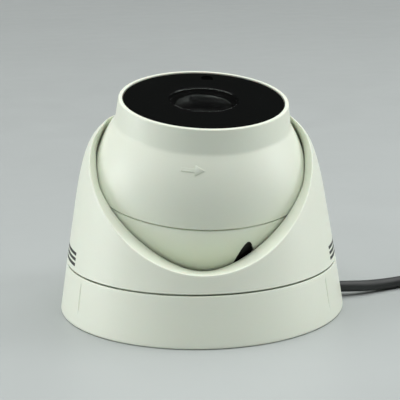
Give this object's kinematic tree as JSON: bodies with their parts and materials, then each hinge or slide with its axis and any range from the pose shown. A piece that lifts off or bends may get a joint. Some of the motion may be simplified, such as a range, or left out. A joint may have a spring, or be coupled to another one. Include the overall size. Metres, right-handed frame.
{
  "type": "turret surveillance camera",
  "caption": "Turret surveillance camera: round mounting base, turning housing with a slanted opening, tilting ball with a black window and lens, and a coiled cable with a network socket.",
  "frame": {"origin": "centre of the mounting base, on the flat face it is fixed or stands by", "axes": "+Z out of the mounting surface, towards the ball; the housing opening faces -Y; the cable leaves to +X"},
  "size_m": [0.2187, 0.1157, 0.0881],
  "materials": {
    "white_plastic": "satin moulded, slightly warm white",
    "black_window": "high gloss",
    "clear_glass": "polished",
    "filter_glass": "polished",
    "black_plastic": "fine grain",
    "black_rubber": "matt",
    "nylon": "matt",
    "felt": "matt",
    "cable_jacket": "satin",
    "steel": "satin",
    "aluminium": "satin",
    "gold": "bright",
    "board": "solder mask",
    "chip": "matt",
    "connector": "matt"
  },
  "bodies": {
    "base": {"mounting_base": "white_plastic", "cable_grommet": "black_rubber", "seat_ring": "nylon", "lock_ring": "steel", "lock_ring_screw_1": "steel", "lock_ring_screw_2": "steel", "lock_ring_screw_3": "steel", "cable": "cable_jacket", "cable_coil": "cable_jacket", "cable_tail": "cable_jacket", "cable_tie": "black_plastic", "network_socket": "black_plastic", "socket_boot": "black_rubber", "socket_contacts": "gold"},
    "housing": {"housing": "white_plastic", "grip_pad_1": "felt", "grip_pad_2": "felt", "grip_pad_3": "felt"},
    "glide": {"glide_ring": "nylon"},
    "ball": {"ball_front_shell": "white_plastic", "ball_rear_shell": "white_plastic", "ball_seal": "black_rubber", "shell_screw_1": "steel", "shell_screw_2": "steel", "shell_screw_3": "steel", "screw_plug_1": "black_rubber", "screw_plug_2": "black_rubber", "screw_plug_3": "black_rubber", "window_panel": "black_window", "lens_window": "clear_glass", "window_gasket": "black_rubber", "lens_shroud": "black_rubber", "lens_barrel": "black_plastic", "lens_front_glass": "clear_glass", "lens_rear_glass": "clear_glass", "lens_holder": "black_plastic", "filter_motor": "black_plastic", "sensor_board": "board", "image_sensor": "chip", "main_board": "board", "processor": "chip", "heat_spreader": "aluminium", "board_standoff_1": "aluminium", "board_standoff_2": "aluminium", "board_screw_1": "steel", "board_screw_2": "steel", "ir_board": "board", "ir_board_screw_1": "steel", "ir_board_screw_2": "steel", "ir_led": "clear_glass", "light_sensor": "chip", "ribbon_cable": "connector", "tail_plug": "connector", "inner_lead": "cable_jacket", "cable_gland": "black_rubber"},
    "filter": {"filter_carrier": "black_plastic", "ir_cut_filter": "filter_glass", "clear_filter": "clear_glass"}
  },
  "joints": [
    {"name": "pan", "type": "hinge", "parent": "base", "child": "housing", "pos_m": [0, 0, 0.01872], "axis": [0, 0, 1], "range_deg": [-180, 180]},
    {"name": "tilt", "type": "hinge", "parent": "housing", "child": "glide", "pos_m": [0, 0, 0.0487], "axis": [1, 0, 0], "range_deg": [-11, 55]},
    {"name": "rotate", "type": "hinge", "parent": "glide", "child": "ball", "pos_m": [0, 0, 0.0487], "axis": [0.055, -0.1934, 0.9796], "range_deg": [-180, 180]},
    {"name": "filter_slide", "type": "slide", "parent": "ball", "child": "filter", "axis": [0.9985, 0.0106, -0.0539], "range_m": [0, 0.008]}
  ]
}
